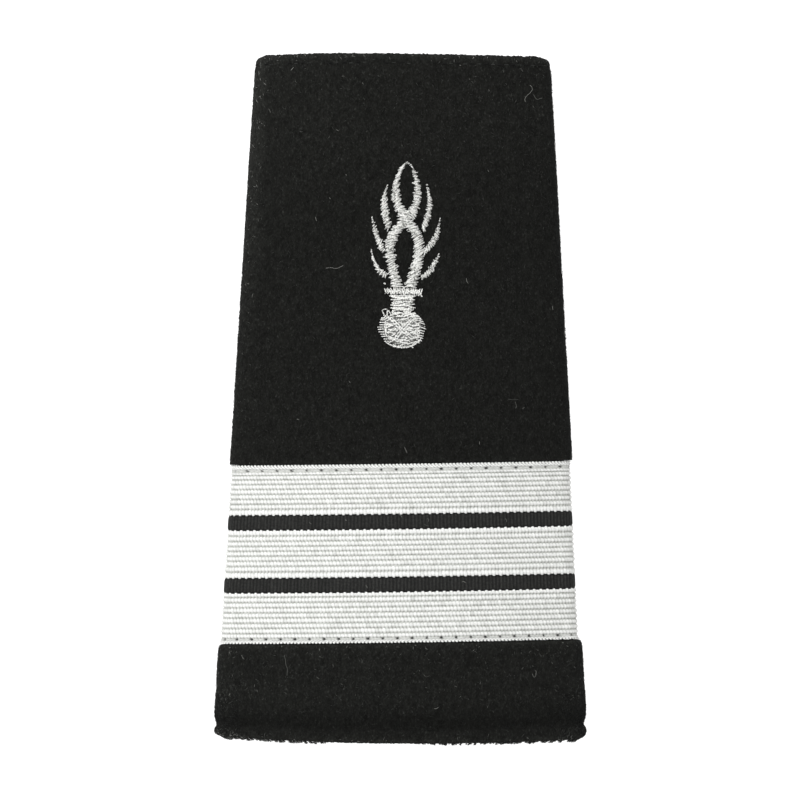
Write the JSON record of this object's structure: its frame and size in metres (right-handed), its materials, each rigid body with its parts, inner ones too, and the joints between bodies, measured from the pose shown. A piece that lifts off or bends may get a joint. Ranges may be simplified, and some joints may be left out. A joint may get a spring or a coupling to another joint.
{
  "type": "slip-on shoulder board",
  "caption": "Tapered felt sleeve for a shoulder strap, open at both ends, with a woven rank ribbon round it and an embroidered flaming grenade.",
  "frame": {"origin": "middle of the object's outline seen from the face, on the surface that the sleeve's back lies on", "axes": "+Z out of the face, +Y along the sleeve towards its narrow collar end, +X to the right seen from the face"},
  "size_m": [0.0568, 0.1039, 0.0106],
  "materials": {
    "black_felt": "matt wool felt with a short nap",
    "white_ribbon": "ribbed weave with a soft sheen",
    "black_ribbon": "ribbed weave with a soft sheen",
    "silver_thread": "satin stitch in shiny thread"
  },
  "bodies": {
    "root": {"felt_sleeve": "black_felt", "white_bar_1": "white_ribbon", "black_stripe_1": "black_ribbon", "white_bar_2": "white_ribbon", "black_stripe_2": "black_ribbon", "white_bar_3": "white_ribbon", "grenade_ball": "silver_thread", "grenade_neck": "silver_thread", "grenade_collar": "silver_thread", "flame_strand_under": "silver_thread", "flame_strand_over": "silver_thread", "side_flame_left_high": "silver_thread", "side_flame_left_mid": "silver_thread", "side_flame_left_low": "silver_thread", "side_flame_right_high": "silver_thread", "side_flame_right_mid": "silver_thread", "side_flame_right_low": "silver_thread"}
  },
  "joints": []
}
